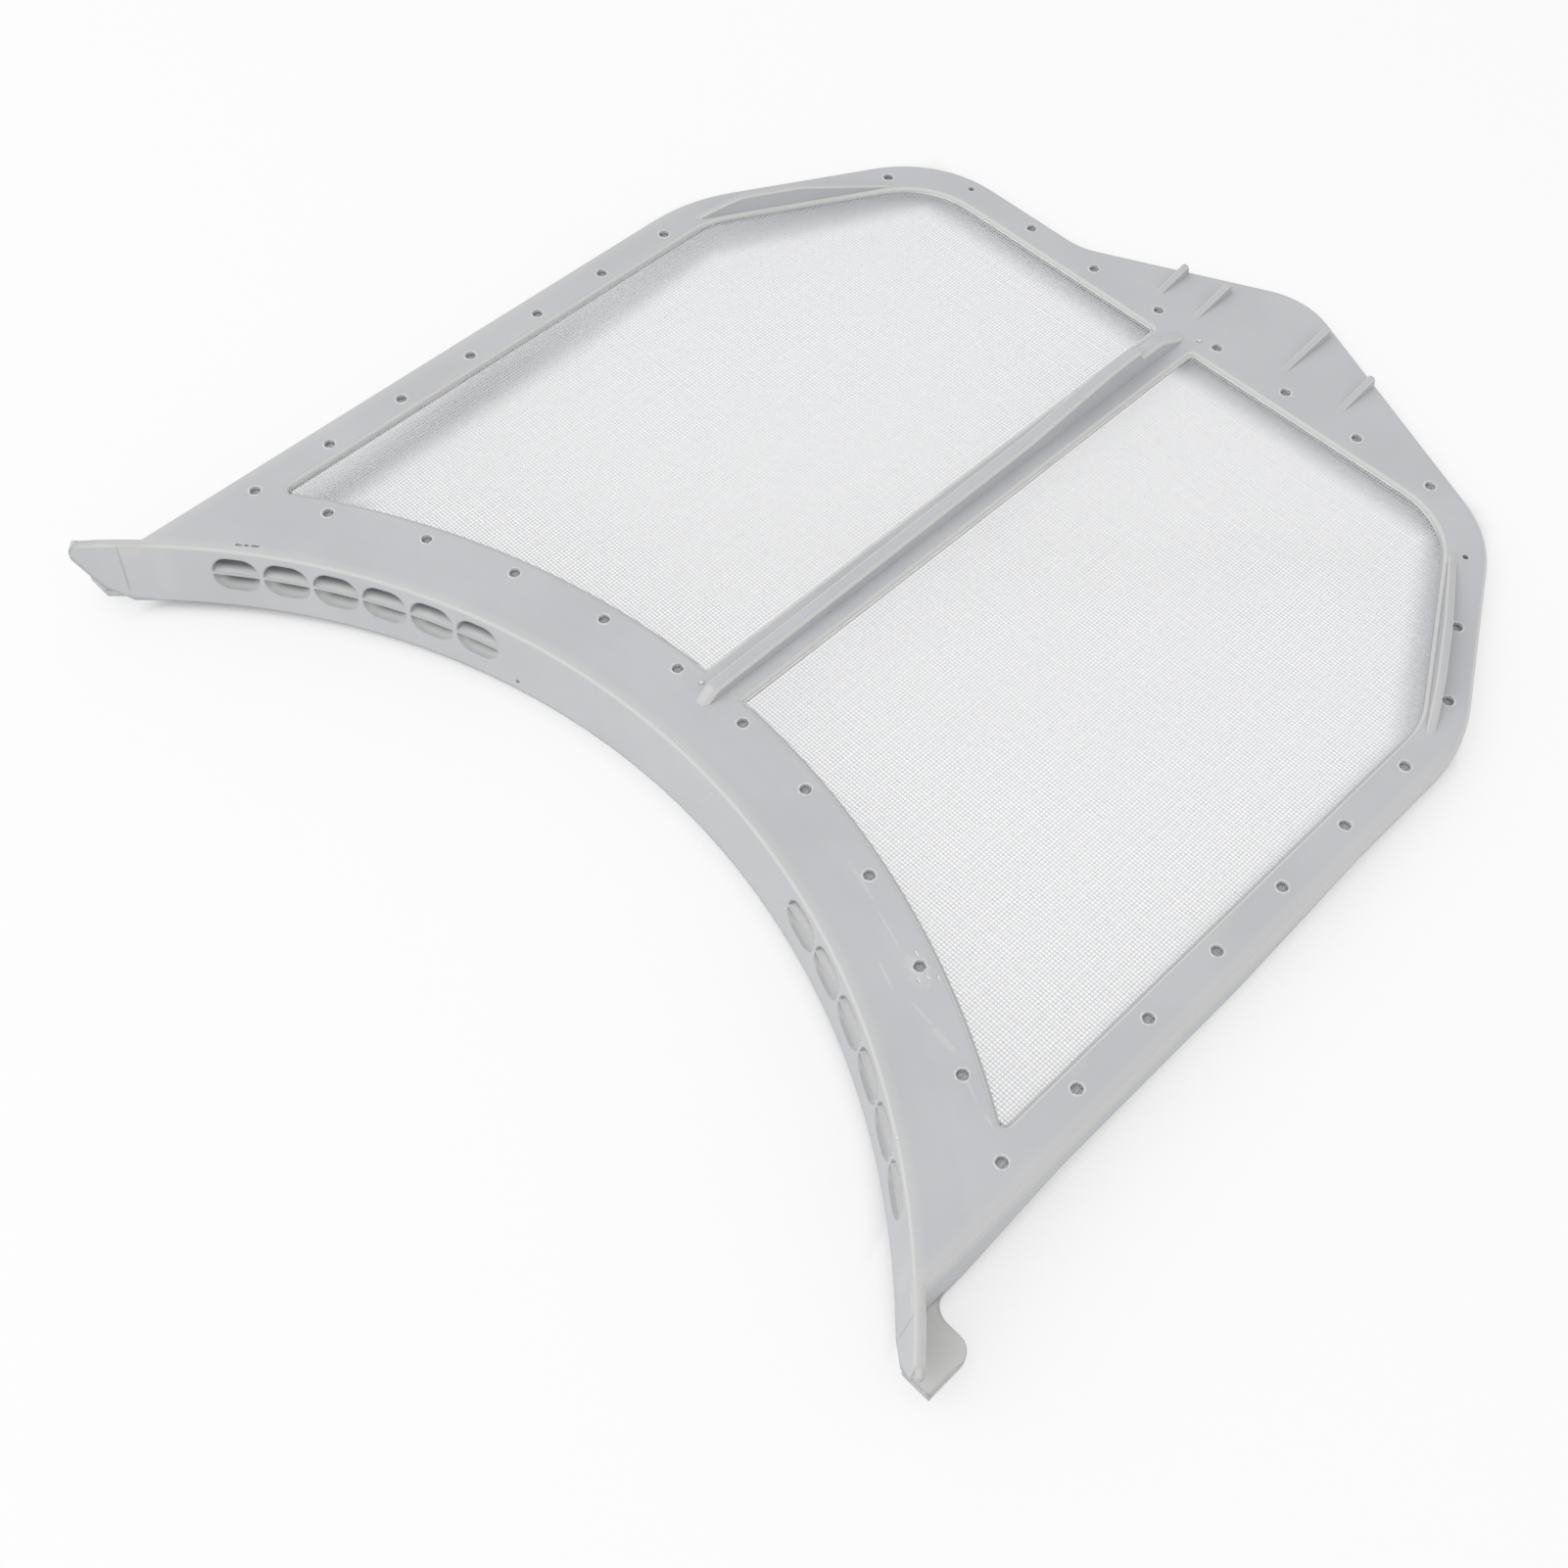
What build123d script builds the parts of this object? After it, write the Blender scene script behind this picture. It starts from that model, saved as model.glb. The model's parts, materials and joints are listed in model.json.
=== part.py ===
from build123d import *
from math import asin, atan2, cos, degrees, hypot, radians, sin, sqrt
import os

# Tumble dryer lint filter: a moulded plastic frame and the woven screen that it is moulded round.
# The plan is drawn about the axis of the windows' curved front edges: X runs across the filter, Y from
# that axis to the rear tongue, and Z = 0 is the top of the plate. The collar has an axis of its own, a
# little further back. The pieces are then laid as they come to rest.

# Plate
plate_thickness = 2.5
plate_half_width = 146.2
plate_length = 216.9
rear_chamfer_width = 40.9
rear_chamfer_run = 72.7
corner_radius = 38.0
side_corner_radius = 55.0
edge_rounding = 2.0

# Tongue behind the rear edge, off centre
tongue_root_x = -46.0
tongue_tip_x = 16.8
tongue_reach = 32.3
tongue_end_overrun = 4.1
tongue_root_radius = 20.0
tongue_tip_radius = 25.0

# Collar that follows the round door opening, leaning in towards its foot, with wings past the plate
collar_axis_y = 6.7
collar_radius = 205.9
collar_lean = 3.0
collar_wall = 2.6
collar_depth = 19.7
rim_rounding = 1.1
wing_reach = 12.05
wing_shoulder_depth = 4.7
wing_heel_reach = 8.0
wing_toe_height = 4.8
wing_toe_reach = 2.85
wing_tip_radius = 3.0

# Vents through the collar, each crossed by a thin bar and running back in a sleeve
vent_width = 12.8
vent_height = 10.7
vent_corner = 4.6
vent_bar = 1.0
vent_depth = 8.45
vent_first_place = 62.7
vent_pitch = 14.35
vent_count = 6
sleeve_depth = 6.3
sleeve_wall = 1.2

# Skirts under the long sides, and the corner tabs behind the collar's wings
skirt_wall = 2.2
skirt_depth = 11.0
skirt_ramp = 46.5
skirt_runout = 91.8
skirt_end = 44.8
tab_thickness = 2.5
tab_lift = 0.2
tab_reach = 13.8
tab_setback = 4.3
tab_corner = 4.5
tab_root_radius = 5.5

# Windows
front_border = 22.3
side_border = 12.7
rear_border = 12.0
chamfer_border = 12.2
strap_half_width = 7.0
window_corner = 26.0
window_tight_corner = 1.5
window_bevel = 1.1

# Screen gripped in the plate
screen_thickness = 0.3
screen_depth = 1.2
screen_grip = 8.0
warp_count = 38
warp_gap = 1.6
warp_margin = 1.0

# Centre rib, its places measured from the windows' front edge and from the rear edge
rib_width = 4.2
rib_bevel = 0.9
rib_front_overlap = 11.1
rib_front_ramp = 7.0
rib_front_height = 3.3
rib_waist_setback = 77.5
rib_waist_height = 5.6
rib_crest_setback = 43.5
rib_crest_height = 9.2
rib_crest_length = 13.0
rib_step_run = 1.5
rib_step_rounding = 1.1
rib_tail_height = 5.9
rib_tail_length = 8.5
rib_rear_setback = 5.8

# Ridges along the rear chamfers
ridge_width = 2.4
ridge_inset = 9.6
ridge_front_overlap = 6.8
ridge_rear_setback = 14.8
ridge_height = 5.4
ridge_rise = 17.0
ridge_level = 20.0
ridge_bevel = 0.5

# Fins on the tongue: place across and distance from the tongue's edge
fin_places = ((-16.0, 0.5), (-1.8, 5.0), (30.5, 2.4), (51.8, 0.6))
fin_overlap = 1.1
fin_width = 2.2
fin_height = 3.6
fin_end_slope = 1.6
fin_bevel = 0.5

# Pin marks left where the screen was held in the mould
pin_sides = 8
pin_diameter = 3.3
fine_pin_diameter = 2.0
pin_pitch = 25.4
pin_end_margin = 15.0
arc_pin_inset = 5.0
arc_pin_places = (12.2, 37.9, 67.2, 94.6, 123.9)
side_pin_inset = 7.7
side_pin_first = 34.4
chamfer_pin_inset = 6.3
chamfer_pin_first = 9.75
rear_pin_inset = 5.1
rear_pin_first_x = 11.1

# Gate marks beside the rib's ends: distance from the middle and from the border's edge
gate_diameter = 1.5
gate_height = 0.2
front_gate_x = -4.6
front_gate_inset = 4.1
rear_gate_x = 5.6
rear_gate_inset = 6.6

# Lines of the plate
collar_axis = Axis((0, collar_axis_y, 0), (0, 0, 1))
collar_middle_y = collar_axis_y + collar_radius
plate_front_radius = collar_radius + collar_wall / 2
rear_edge_y = collar_middle_y + plate_length
rear_corner_x = plate_half_width - rear_chamfer_width
side_corner_y = rear_edge_y - rear_chamfer_run
tongue_tip_y = rear_edge_y + tongue_reach
tongue_end_x = rear_corner_x + tongue_end_overrun
window_front_radius = collar_middle_y + front_border

# Rear chamfer line, outward normal and points at a distance inside it
chamfer_run_x = rear_corner_x - plate_half_width
chamfer_run_y = rear_edge_y - side_corner_y
chamfer_length = hypot(chamfer_run_x, chamfer_run_y)
chamfer_normal_x = chamfer_run_y / chamfer_length
chamfer_normal_y = -chamfer_run_x / chamfer_length


def chamfer_x(y, inset):
    """X of the right rear chamfer at y, moved in by inset."""
    return plate_half_width + (y - side_corner_y) * chamfer_run_x / chamfer_run_y - inset / chamfer_normal_x


def chamfer_y(x, inset):
    """Y of the right rear chamfer at x, moved in by inset."""
    return side_corner_y + (x - plate_half_width) * chamfer_run_y / chamfer_run_x - inset / chamfer_normal_y


def tongue_edge_y(x):
    """Y of the tongue's two straight edges at x."""
    if x < tongue_tip_x:
        share = (x - tongue_root_x) / (tongue_tip_x - tongue_root_x)
        return rear_edge_y + share * (tongue_tip_y - rear_edge_y)
    tongue_end_y = chamfer_y(tongue_end_x, 0)
    share = (x - tongue_tip_x) / (tongue_end_x - tongue_tip_x)
    return tongue_tip_y + share * (tongue_end_y - tongue_tip_y)


def on_arc(radius, angle, axis_y=0):
    """Point at a radius from an axis, at an angle from straight behind it."""
    return (radius * sin(radians(angle)), axis_y + radius * cos(radians(angle)))


def arc_y(radius, x, axis_y=0):
    """Y of the circle of a radius about an axis, at x."""
    return axis_y + sqrt(radius**2 - x**2)


def wall_radius(z):
    """Radius of the collar's hollow face at a height, less towards its foot."""
    return collar_radius + z * collar_lean / collar_depth


def radial_plane(radius, angle, z):
    """Plane that faces out from the collar's axis, with its own Y upwards."""
    x, y = on_arc(1, angle)
    return Plane(origin=(radius * x, collar_axis_y + radius * y, z), x_dir=(-y, x, 0), z_dir=(x, y, 0))


def window_outline(inset):
    """Face of the right-hand window, its edges moved in by inset."""
    inner_x = strap_half_width + inset
    side_x = plate_half_width - side_border - inset
    rear_y = rear_edge_y - rear_border - inset
    chamfer_inset = chamfer_border + inset
    front_radius = window_front_radius + inset
    inner_front = (inner_x, arc_y(front_radius, inner_x))
    inner_rear = (inner_x, rear_y)
    rear_corner = (chamfer_x(rear_y, chamfer_inset), rear_y)
    side_corner = (side_x, chamfer_y(side_x, chamfer_inset))
    side_front = (side_x, arc_y(front_radius, side_x))
    front_middle = on_arc(front_radius, degrees(atan2(side_x + inner_x, side_front[1] + inner_front[1])))
    radii = (window_tight_corner, window_corner, window_corner)
    with BuildSketch() as outline:
        with BuildLine():
            FilletPolyline(inner_front, inner_rear, rear_corner, side_corner, side_front, radius=radii)
            ThreePointArc(side_front, front_middle, inner_front)
        make_face()
        fillet(outline.vertices().sort_by(Axis.Y)[0], radius=window_tight_corner)
    return outline.sketch


def screen_outline():
    """Face of the whole screen, both windows and the border that the plate grips."""
    side_x = plate_half_width - side_border + screen_grip
    rear_y = rear_edge_y - rear_border + screen_grip
    chamfer_inset = chamfer_border - screen_grip
    front_radius = window_front_radius - screen_grip
    rear_x = chamfer_x(rear_y, chamfer_inset)
    side_y = chamfer_y(side_x, chamfer_inset)
    front_y = arc_y(front_radius, side_x)
    corners = (
        (side_x, front_y),
        (side_x, side_y),
        (rear_x, rear_y),
        (-rear_x, rear_y),
        (-side_x, side_y),
        (-side_x, front_y),
    )
    with BuildSketch() as outline:
        with BuildLine():
            FilletPolyline(*corners, radius=window_corner + screen_grip)
            ThreePointArc(corners[-1], (0, front_radius), corners[0])
        make_face()
    return outline.sketch


def blade(plane, profile, radii, width, bevel):
    """Upright blade: a profile in a plane, thick to both sides, its upper edges bevelled."""
    with BuildPart() as piece:
        with BuildSketch(plane):
            with BuildLine():
                FilletPolyline(*profile, radius=radii)
                Line(profile[-1], profile[0])
            make_face()
        extrude(amount=width / 2, both=True)
        base = piece.faces().sort_by(Axis.Z)[0]
        sides = piece.faces().filter_by(Axis((0, 0, 0), plane.z_dir))
        chamfer(sides.edges() - base.edges(), length=bevel)
    return piece.part


# Blades on the top of the plate, each rooted in it by half its thickness
root = -plate_thickness / 2

rib_front_y = window_front_radius - rib_front_overlap
rib_crest_y = rear_edge_y - rib_crest_setback
rib_step_y = rib_crest_y + rib_crest_length
rib_tail_y = rib_step_y + rib_step_run
rib = blade(
    Plane.YZ,
    (
        (rib_front_y, root),
        (rib_front_y + rib_front_ramp, rib_front_height),
        (rear_edge_y - rib_waist_setback, rib_waist_height),
        (rib_crest_y, rib_crest_height),
        (rib_step_y, rib_crest_height),
        (rib_tail_y, rib_tail_height),
        (rib_tail_y + rib_tail_length, rib_tail_height),
        (rear_edge_y - rib_rear_setback, root),
    ),
    (
        rib_front_height,
        rib_crest_length,
        rib_crest_length,
        rib_step_rounding,
        rib_step_rounding,
        rib_tail_length,
    ),
    rib_width,
    rib_bevel,
)

ridge_start_y = side_corner_y - ridge_front_overlap
ridge_end_y = rear_edge_y - ridge_rear_setback
ridge_start = Vector(chamfer_x(ridge_start_y, ridge_inset), ridge_start_y)
ridge_end = Vector(chamfer_x(ridge_end_y, ridge_inset), ridge_end_y)
ridge_run = ridge_end - ridge_start
ridge_plane = Plane(origin=ridge_start, x_dir=ridge_run, z_dir=ridge_run.cross(Vector(0, 0, 1)))
ridge_length = ridge_run.length
ridge = blade(
    ridge_plane,
    (
        (0, root),
        (ridge_rise, ridge_height),
        (ridge_rise + ridge_level, ridge_height),
        (ridge_length, root),
    ),
    (ridge_rise, ridge_rise),
    ridge_width,
    ridge_bevel,
)

fin_start_y = rear_edge_y - fin_overlap
fins = []
for fin_x, fin_setback in fin_places:
    fin_end_y = tongue_edge_y(fin_x) - fin_setback
    fin_top_y = fin_end_y - fin_end_slope
    fin_profile = (
        (fin_start_y + (fin_top_y - fin_start_y) * root / fin_height, root),
        (fin_top_y, fin_height),
        (fin_end_y, root),
    )
    fins.append(blade(Plane.YZ.offset(fin_x), fin_profile, fin_end_slope / 2, fin_width, fin_bevel))

# Pin marks of the right half
plate_front_y = arc_y(plate_front_radius, plate_half_width, collar_axis_y)
arc_pin_radius = window_front_radius - arc_pin_inset
arc_pins = [on_arc(arc_pin_radius, degrees(place / arc_pin_radius)) for place in arc_pin_places]
side_pin_x = plate_half_width - side_pin_inset
side_pin_start = plate_front_y + side_pin_first
side_pin_count = 1 + int((side_corner_y - pin_end_margin - side_pin_start) / pin_pitch)
side_pins = [(side_pin_x, side_pin_start + step * pin_pitch) for step in range(side_pin_count)]
chamfer_rise = chamfer_run_y / chamfer_length
chamfer_pin_count = 1 + int((chamfer_length - pin_end_margin - chamfer_pin_first) / pin_pitch)
chamfer_pin_runs = [chamfer_pin_first + step * pin_pitch for step in range(chamfer_pin_count)]
chamfer_pin_y = [side_corner_y + run * chamfer_rise for run in chamfer_pin_runs]
chamfer_pins = [(chamfer_x(y, chamfer_pin_inset), y) for y in chamfer_pin_y]
rear_pin_y = rear_edge_y - rear_pin_inset
rear_pin_count = 1 + int((rear_corner_x - pin_end_margin - rear_pin_first_x) / pin_pitch)
rear_pins = [(rear_pin_first_x + step * pin_pitch, rear_pin_y) for step in range(rear_pin_count)]
right_pins = arc_pins + side_pins + chamfer_pins + rear_pins
left_pins = [(-x, y) for x, y in right_pins]
fine_pins = (chamfer_pins[-1], (-rear_pins[-1][0], rear_pin_y))
pins = [place for place in right_pins + left_pins if place not in fine_pins]

# Moulded frame: plate, collar with its vents and wings, skirts, tabs, rib, ridges and fins in one piece
wing_tip = plate_half_width + wing_reach
collar_half_angle = degrees(asin(wing_tip / plate_front_radius))
wing_heel_angle = degrees(asin((plate_half_width + wing_heel_reach) / plate_front_radius))
wing_toe_angle = degrees(asin((plate_half_width + wing_toe_reach) / plate_front_radius))
with BuildPart() as moulded_frame:
    # Plate with its off-centre tongue
    with BuildSketch():
        with BuildLine():
            FilletPolyline(
                (plate_half_width, plate_front_y),
                (plate_half_width, side_corner_y),
                (tongue_end_x, chamfer_y(tongue_end_x, 0)),
                (tongue_tip_x, tongue_tip_y),
                (tongue_root_x, rear_edge_y),
                (-rear_corner_x, rear_edge_y),
                (-plate_half_width, side_corner_y),
                (-plate_half_width, plate_front_y),
                radius=(
                    side_corner_radius,
                    corner_radius,
                    tongue_tip_radius,
                    tongue_root_radius,
                    corner_radius,
                    side_corner_radius,
                ),
            )
            ThreePointArc(
                (-plate_half_width, plate_front_y),
                (0, collar_axis_y + plate_front_radius),
                (plate_half_width, plate_front_y),
            )
        make_face()
    extrude(amount=-plate_thickness)
    top_face = moulded_frame.faces().sort_by(Axis.Z)[-1]
    outer_edges = top_face.outer_wire().edges()
    front_edge = outer_edges.sort_by(Edge.length)[-1]
    fillet(outer_edges - [front_edge], radius=edge_rounding)

    # Windows with a bevel round their upper edge
    with BuildSketch():
        add(window_outline(0))
        mirror(about=Plane.YZ)
    extrude(amount=-plate_thickness, mode=Mode.SUBTRACT)
    top_face = moulded_frame.faces().sort_by(Axis.Z)[-1]
    chamfer(top_face.inner_wires().edges(), length=window_bevel)

    # Collar wall, turned about its axis, with a rounded rim, and the vents' sleeves behind it
    collar_end = radial_plane(0, collar_half_angle + 90, 0)
    foot_radius = wall_radius(-collar_depth)
    with BuildSketch(collar_end) as collar_section:
        with BuildLine():
            Polyline(
                (collar_radius, 0),
                (collar_radius + collar_wall, 0),
                (foot_radius + collar_wall, -collar_depth),
                (foot_radius, -collar_depth),
                close=True,
            )
        make_face()
        fillet(collar_section.vertices().group_by(Axis.Y)[-1], radius=rim_rounding)
    revolve(axis=collar_axis, revolution_arc=2 * collar_half_angle)
    vent_places = [vent_first_place + step * vent_pitch for step in range(vent_count)]
    vent_angles = [degrees(place / collar_radius) for place in vent_places]
    sleeve_margin = degrees((vent_width / 2 + sleeve_wall) / collar_radius)
    sleeve_arc = vent_angles[-1] - vent_angles[0] + 2 * sleeve_margin
    sleeve_height = vent_depth + vent_height / 2 + sleeve_wall
    sleeve_ends = (vent_angles[-1] + sleeve_margin, sleeve_margin - vent_angles[0])
    sleeve_top_radius = wall_radius(root) + collar_wall / 2
    sleeve_foot_radius = wall_radius(-sleeve_height) + collar_wall / 2
    for sleeve_end in sleeve_ends:
        with BuildSketch(radial_plane(0, sleeve_end + 90, 0)):
            with BuildLine():
                Polyline(
                    (sleeve_top_radius, root),
                    (sleeve_top_radius + sleeve_depth, root),
                    (sleeve_foot_radius + sleeve_depth, -sleeve_height),
                    (sleeve_foot_radius, -sleeve_height),
                    close=True,
                )
            make_face()
        revolve(axis=collar_axis, revolution_arc=sleeve_arc)

    # Wing ends: rounded and upright at the top, then cut back to the toe
    heel_plane = radial_plane(collar_radius, wing_heel_angle, 0)
    wing_end = -radians(collar_half_angle - wing_heel_angle) * collar_radius
    wing_toe = radians(wing_heel_angle - wing_toe_angle) * collar_radius
    with BuildSketch(heel_plane):
        with BuildLine():
            FilletPolyline(
                (wing_toe, -collar_depth),
                (0, wing_toe_height - collar_depth),
                (wing_end, -wing_shoulder_depth),
                (wing_end, 0),
                (-wing_end, 0),
                radius=(wing_tip_radius, wing_tip_radius, wing_tip_radius),
            )
            Polyline(
                (-wing_end, 0),
                (-wing_end, collar_depth),
                (2 * wing_end, collar_depth),
                (2 * wing_end, -2 * collar_depth),
                (wing_toe, -2 * collar_depth),
                (wing_toe, -collar_depth),
            )
        make_face()
    wing_cut = extrude(amount=2 * collar_wall, both=True, mode=Mode.PRIVATE)
    add(wing_cut, mode=Mode.SUBTRACT)
    mirror(wing_cut, about=Plane.YZ, mode=Mode.SUBTRACT)

    # Vents, a row to each side of the middle
    vent_planes = [radial_plane(collar_radius, angle, -vent_depth) for angle in vent_angles]
    vent_planes += [radial_plane(collar_radius, -angle, -vent_depth) for angle in vent_angles]
    with BuildSketch(*vent_planes):
        RectangleRounded(vent_width, vent_height, vent_corner)
        Rectangle(vent_width, vent_bar, mode=Mode.SUBTRACT)
    extrude(amount=2 * sleeve_depth, both=True, mode=Mode.SUBTRACT)

    # Skirts: deepest at the tabs, level along the sides, running out towards the rear
    tab_depth = collar_depth - tab_lift
    skirt_middle_x = plate_half_width - skirt_wall / 2
    skirt_front_y = arc_y(plate_front_radius, skirt_middle_x, collar_axis_y)
    skirt_toe_y = arc_y(plate_front_radius - collar_lean, skirt_middle_x, collar_axis_y)
    tab_rear_y = plate_front_y + tab_setback
    skirt_heel_y = tab_rear_y + 2 * tab_root_radius
    skirt_end_y = side_corner_y - skirt_end
    with BuildSketch(Plane.YZ.offset(plate_half_width)):
        with BuildLine():
            FilletPolyline(
                (skirt_toe_y, -tab_depth),
                (skirt_heel_y, -tab_depth),
                (plate_front_y + skirt_ramp, -skirt_depth),
                (side_corner_y - skirt_runout, -skirt_depth),
                (skirt_end_y, -plate_thickness),
                radius=(tab_root_radius, corner_radius, corner_radius),
            )
            Polyline(
                (skirt_end_y, -plate_thickness),
                (skirt_end_y, -edge_rounding),
                (skirt_front_y, -edge_rounding),
                (skirt_toe_y, -tab_depth),
            )
        make_face()
    skirt = extrude(amount=-skirt_wall, mode=Mode.PRIVATE)
    add(skirt)
    mirror(skirt, about=Plane.YZ)

    # Tabs in the corners between the skirts and the collar's wings
    heel = on_arc(plate_front_radius - collar_lean, wing_heel_angle, collar_axis_y)
    tab_side = plate_half_width + tab_reach
    with BuildSketch(Plane.XY.offset(tab_thickness - tab_depth)):
        with BuildLine():
            FilletPolyline(
                (plate_half_width, skirt_heel_y),
                (plate_half_width, tab_rear_y),
                (tab_side, tab_rear_y),
                (tab_side, heel[1]),
                radius=(tab_root_radius, tab_corner),
            )
            Polyline(
                (tab_side, heel[1]),
                heel,
                (skirt_middle_x, skirt_toe_y),
                (skirt_middle_x, skirt_heel_y),
                (plate_half_width, skirt_heel_y),
            )
        make_face()
    tab = extrude(amount=-tab_thickness, mode=Mode.PRIVATE)
    add(tab)
    mirror(tab, about=Plane.YZ)

    # Rib, ridges and fins
    add(rib)
    add(ridge)
    mirror(ridge, about=Plane.YZ)
    add(fins)

    # Pin and gate marks
    with BuildSketch():
        with Locations(*pins):
            RegularPolygon(pin_diameter / 2, pin_sides)
        with Locations(*fine_pins):
            RegularPolygon(fine_pin_diameter / 2, pin_sides)
    extrude(amount=-screen_depth, mode=Mode.SUBTRACT)
    front_gate = (front_gate_x, window_front_radius - front_gate_inset)
    rear_gate = (rear_gate_x, rear_edge_y - rear_gate_inset)
    with BuildSketch():
        with Locations(front_gate, rear_gate):
            RegularPolygon(gate_diameter / 2, pin_sides)
    extrude(amount=gate_height)

    # Slot round the windows that grips the screen's border
    with BuildSketch(Plane.XY.offset(-screen_depth)):
        add(screen_outline())
    extrude(amount=-screen_thickness, mode=Mode.SUBTRACT)

# Woven screen: one sheet across both windows, its open weave shown as gaps between strips of warp
window_width = plate_half_width - side_border - strap_half_width
window_center_x = strap_half_width + window_width / 2
with BuildPart() as mesh_screen:
    with BuildSketch(Plane.XY.offset(-screen_depth)):
        add(screen_outline())
    extrude(amount=-screen_thickness)
    with BuildSketch(Plane.XY.offset(-screen_depth)):
        with Locations((window_center_x, rear_edge_y / 2)):
            with GridLocations(window_width / warp_count, rear_edge_y, warp_count, 1):
                Rectangle(warp_gap, rear_edge_y)
        add(window_outline(warp_margin), mode=Mode.INTERSECT)
        mirror(about=Plane.YZ)
    extrude(amount=-screen_thickness, mode=Mode.SUBTRACT)

# The filter at rest: on the middle of the collar's lower edge and on the tongue's rear edge
tongue_rear_y = moulded_frame.part.bounding_box().max.Y
collar_foot_y = collar_axis_y + foot_radius + collar_wall
rest_tilt = -degrees(atan2(collar_depth - plate_thickness, tongue_rear_y - collar_foot_y))
laid = Location((0, 0, 0), (rest_tilt, 0, 0))
laid_box = moulded_frame.part.moved(laid).bounding_box()
rest = Location((0, -laid_box.center().Y, -laid_box.min.Z)) * laid
moulded_frame.part.move(rest)
mesh_screen.part.move(rest)

os.makedirs("parts", exist_ok=True)
moulded_frame.part.label = "moulded_frame"
export_step(moulded_frame.part, "parts/moulded_frame.step")
mesh_screen.part.label = "mesh_screen"
export_step(mesh_screen.part, "parts/mesh_screen.step")
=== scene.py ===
import json
from math import atan2, radians

import bpy
import numpy as np
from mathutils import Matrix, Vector


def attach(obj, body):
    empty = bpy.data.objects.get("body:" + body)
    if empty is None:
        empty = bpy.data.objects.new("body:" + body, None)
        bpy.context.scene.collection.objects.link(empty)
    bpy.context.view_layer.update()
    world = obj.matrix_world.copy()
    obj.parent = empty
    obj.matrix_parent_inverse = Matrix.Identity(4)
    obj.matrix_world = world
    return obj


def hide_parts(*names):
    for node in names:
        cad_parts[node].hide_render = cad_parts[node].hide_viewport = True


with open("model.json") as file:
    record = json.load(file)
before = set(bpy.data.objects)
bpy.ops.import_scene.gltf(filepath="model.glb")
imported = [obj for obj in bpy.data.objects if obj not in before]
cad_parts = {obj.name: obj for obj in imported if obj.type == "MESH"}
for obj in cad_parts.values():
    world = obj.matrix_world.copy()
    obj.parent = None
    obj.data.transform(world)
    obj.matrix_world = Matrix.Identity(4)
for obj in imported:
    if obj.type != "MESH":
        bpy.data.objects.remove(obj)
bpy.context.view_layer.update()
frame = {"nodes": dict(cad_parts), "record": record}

# Moulded frame: plate, vented collar, skirts, tabs, rib, ridges and fins in one injection moulding of
# pale grey polypropylene with a fine matt finish. The screen's border was laid in the mould, so its
# weave shows faintly through the plate's border, and the collar's rim has the nicks of handling.
slide = next(mount for mount in frame["record"]["mounts"] if mount["name"] == "duct_slide")
rear_edge_y = 429.5
plan_y = np.array(slide["axis"])
plan_axes = np.array([[1, 0, 0], plan_y, np.cross([1, 0, 0], plan_y)])
plan_origin = np.array(slide["pos_m"]) - rear_edge_y / 1000 * plan_y
plan_tilt = atan2(-plan_y[2], plan_y[1])

# Plan millimetres: from the axis of the windows' curved edges, Y to the rear, Z up from the plate's top
collar_axis_y = 6.7
collar_radius = 205.9
collar_wall = 2.6
plate_half_width = 146.2
side_corner_y = 356.8
chamfer_run_x = -40.9
chamfer_run_y = rear_edge_y - side_corner_y
chamfer_normal = np.array([chamfer_run_y, -chamfer_run_x]) / np.hypot(chamfer_run_x, chamfer_run_y)
chamfer_offset = float(chamfer_normal @ (plate_half_width, side_corner_y))
window_front_radius = 234.9
side_window_x = 133.5
rear_window_y = 417.5
chamfer_border = 12.2
screen_grip = 8.0
front_end_radius = window_front_radius - screen_grip
side_end_x = side_window_x + screen_grip
rear_end_y = rear_window_y + screen_grip
chamfer_end = chamfer_offset - chamfer_border + screen_grip
weave_pitch = 0.95
relief_unit = 0.001


def laid(points):
    """Plan millimetres as the frame's metres: the plan's three axes, from the plan's origin."""
    return plan_origin + np.asarray(points) / 1000 @ plan_axes


def paint(red, green, blue):
    """Linear colour of a display colour from 0 to 255: its share to the power 2.4 above the toe."""
    share = np.array([red, green, blue]) / 255
    linear = np.where(share > 0.04045, ((share + 0.055) / 1.055) ** 2.4, share / 12.92)
    return (*linear, 1.0)


def shader(name):
    """New material with an empty node tree."""
    made = bpy.data.materials.new(name)
    made.use_nodes = True
    made.node_tree.nodes.clear()
    return made, made.node_tree


def node(tree, kind, options, inputs):
    """Adds a shader node, sets its options, and links its inputs or sets their values."""
    made = tree.nodes.new("ShaderNode" + kind)
    for option, value in options.items():
        setattr(made, option, value)
    for socket, value in inputs.items():
        if isinstance(value, bpy.types.NodeSocket):
            tree.links.new(value, made.inputs[socket])
        else:
            made.inputs[socket].default_value = value
    return made


def calc(tree, operation, *values):
    """Result of one sum on the values."""
    return node(tree, "Math", {"operation": operation}, dict(enumerate(values))).outputs[0]


def overlap(tree, *shares):
    """Product of several shares: 1 only where all of them are 1."""
    product = shares[0]
    for share in shares[1:]:
        product = calc(tree, "MULTIPLY", product, share)
    return product


def dot(tree, first, second):
    """Product of two directions: the cosine of the angle between them."""
    return node(tree, "VectorMath", {"operation": "DOT_PRODUCT"}, {0: first, 1: second}).outputs["Value"]


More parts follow.
